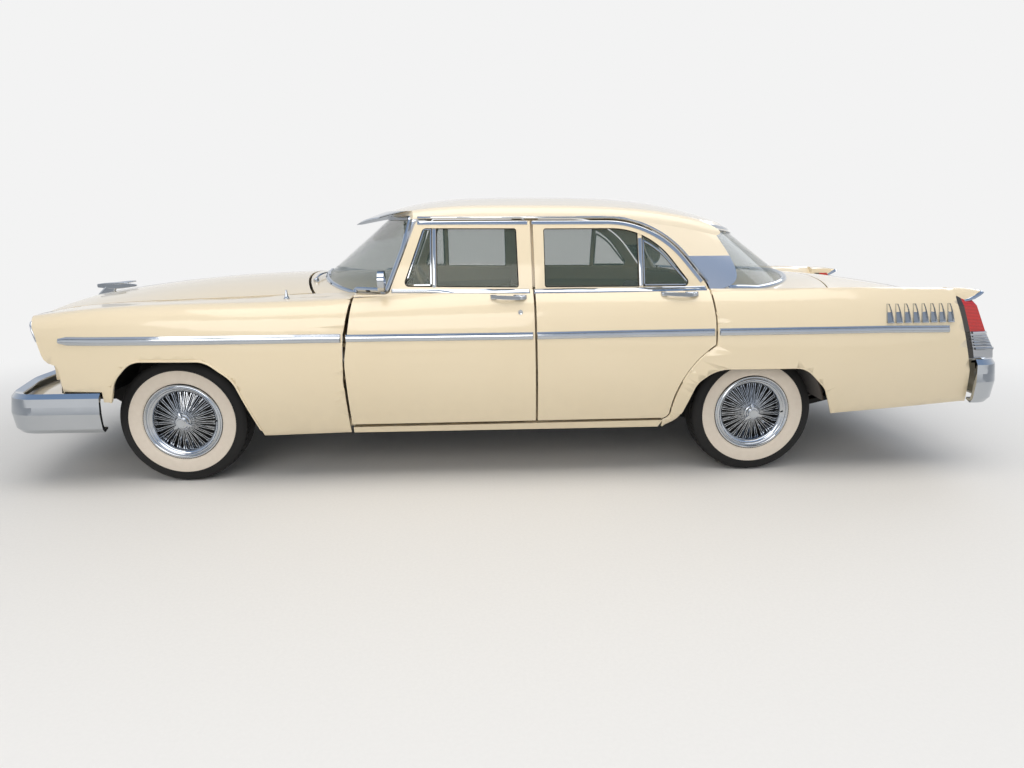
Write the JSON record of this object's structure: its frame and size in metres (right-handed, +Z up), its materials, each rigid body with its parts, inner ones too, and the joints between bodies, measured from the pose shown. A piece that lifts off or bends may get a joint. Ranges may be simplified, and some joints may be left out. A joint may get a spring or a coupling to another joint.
{
  "type": "four-door saloon car",
  "caption": "Long four-door saloon of the 1950s with chrome bumpers, wire wheels and an outside sun visor; wheels roll and steer, doors, hood and deck lid open.",
  "frame": {"origin": "on the ground, below the middle of the overall length and width", "axes": "+X to the rear of the car, +Y to its right-hand side, +Z up; the picture shows the left side, at -Y"},
  "size_m": [5.613, 2.005, 1.567],
  "materials": {
    "body_paint": "gloss",
    "roof_paint": "gloss",
    "black_paint": "satin",
    "chrome": "polished",
    "glass": "clear",
    "lamp_red": "gloss",
    "engine_iron": "cast",
    "exhaust_steel": "dull",
    "upholstery": "satin",
    "dash_paint": "gloss",
    "wheel_plastic": "gloss",
    "tyre_rubber": "matte"
  },
  "bodies": {
    "body_shell": {"chassis_frame": "black_paint", "floor_pan": "black_paint", "front_wheel_houses": "black_paint", "cowl": "body_paint", "sills_and_posts": "body_paint", "rear_body": "body_paint", "roof": "roof_paint", "windscreen": "glass", "rear_window": "glass", "sun_visor": "chrome", "front_bumper": "chrome", "rear_bumper": "chrome", "grille": "chrome", "headlamps": "chrome", "tail_lamps": "lamp_red", "radiator": "black_paint", "engine": "engine_iron", "exhaust": "exhaust_steel", "fuel_tank": "black_paint", "rear_axle": "black_paint", "front_seat": "upholstery", "rear_seat": "upholstery", "dashboard": "dash_paint", "steering_column": "dash_paint", "front_fender_left": "body_paint", "front_fender_right": "body_paint"},
    "hood": {"hood": "body_paint"},
    "deck_lid": {"deck_lid": "body_paint"},
    "steering_wheel": {"steering_wheel": "wheel_plastic"},
    "front_door_left": {"front_door_left": "body_paint", "front_door_glass_left": "glass", "mirror": "chrome"},
    "rear_door_left": {"rear_door_left": "body_paint", "rear_door_glass_left": "glass"},
    "knuckle_left": {"knuckle_left": "black_paint"},
    "wheel_front_left": {"wheel_front_left": "chrome", "tyre_front_left": "tyre_rubber"},
    "wheel_rear_left": {"wheel_rear_left": "chrome", "tyre_rear_left": "tyre_rubber"},
    "front_door_right": {"front_door_right": "body_paint", "front_door_glass_right": "glass"},
    "rear_door_right": {"rear_door_right": "body_paint", "rear_door_glass_right": "glass"},
    "knuckle_right": {"knuckle_right": "black_paint"},
    "wheel_front_right": {"wheel_front_right": "chrome", "tyre_front_right": "tyre_rubber"},
    "wheel_rear_right": {"wheel_rear_right": "chrome", "tyre_rear_right": "tyre_rubber"}
  },
  "joints": [
    {"name": "front_door_hinge_left", "type": "hinge", "parent": "body_shell", "child": "front_door_left", "pos_m": [-0.9605, -0.972, 0.7], "axis": [0, 0, -1], "range_deg": [0, 65]},
    {"name": "rear_door_hinge_left", "type": "hinge", "parent": "body_shell", "child": "rear_door_left", "pos_m": [0.0665, -0.958, 0.7], "axis": [0, 0, -1], "range_deg": [0, 65]},
    {"name": "steer_left", "type": "hinge", "parent": "body_shell", "child": "knuckle_left", "pos_m": [-1.8165, -0.6695, 0.35], "axis": [0, 0, 1], "range_deg": [-28, 28]},
    {"name": "wheel_spin_front_left", "type": "hinge", "parent": "knuckle_left", "child": "wheel_front_left", "pos_m": [-1.8165, -0.7645, 0.35], "axis": [0, 1, 0], "continuous": true},
    {"name": "wheel_spin_rear_left", "type": "hinge", "parent": "body_shell", "child": "wheel_rear_left", "pos_m": [1.3835, -0.757, 0.35], "axis": [0, 1, 0], "continuous": true},
    {"name": "front_door_hinge_right", "type": "hinge", "parent": "body_shell", "child": "front_door_right", "pos_m": [-0.9605, 0.972, 0.7], "axis": [0, 0, 1], "range_deg": [0, 65]},
    {"name": "rear_door_hinge_right", "type": "hinge", "parent": "body_shell", "child": "rear_door_right", "pos_m": [0.0665, 0.958, 0.7], "axis": [0, 0, 1], "range_deg": [0, 65]},
    {"name": "steer_right", "type": "hinge", "parent": "body_shell", "child": "knuckle_right", "pos_m": [-1.8165, 0.6695, 0.35], "axis": [0, 0, 1], "range_deg": [-28, 28]},
    {"name": "wheel_spin_front_right", "type": "hinge", "parent": "knuckle_right", "child": "wheel_front_right", "pos_m": [-1.8165, 0.7645, 0.35], "axis": [0, 1, 0], "continuous": true},
    {"name": "wheel_spin_rear_right", "type": "hinge", "parent": "body_shell", "child": "wheel_rear_right", "pos_m": [1.3835, 0.757, 0.35], "axis": [0, 1, 0], "continuous": true},
    {"name": "hood_hinge", "type": "hinge", "parent": "body_shell", "child": "hood", "pos_m": [-1.1145, 0, 1.031], "axis": [0, 1, 0], "range_deg": [0, 50]},
    {"name": "deck_lid_hinge", "type": "hinge", "parent": "body_shell", "child": "deck_lid", "pos_m": [1.6635, 0, 1.03], "axis": [0, -1, 0], "range_deg": [0, 60]},
    {"name": "steering_wheel_turn", "type": "hinge", "parent": "body_shell", "child": "steering_wheel", "pos_m": [-0.4785, -0.37, 0.96], "axis": [0.895, 0, 0.446], "range_deg": [-450, 450]}
  ],
  "couplings": [
    {"joint": "steer_right", "follows": "steer_left", "ratio": 1},
    {"joint": "steering_wheel_turn", "follows": "steer_left", "ratio": 16}
  ]
}
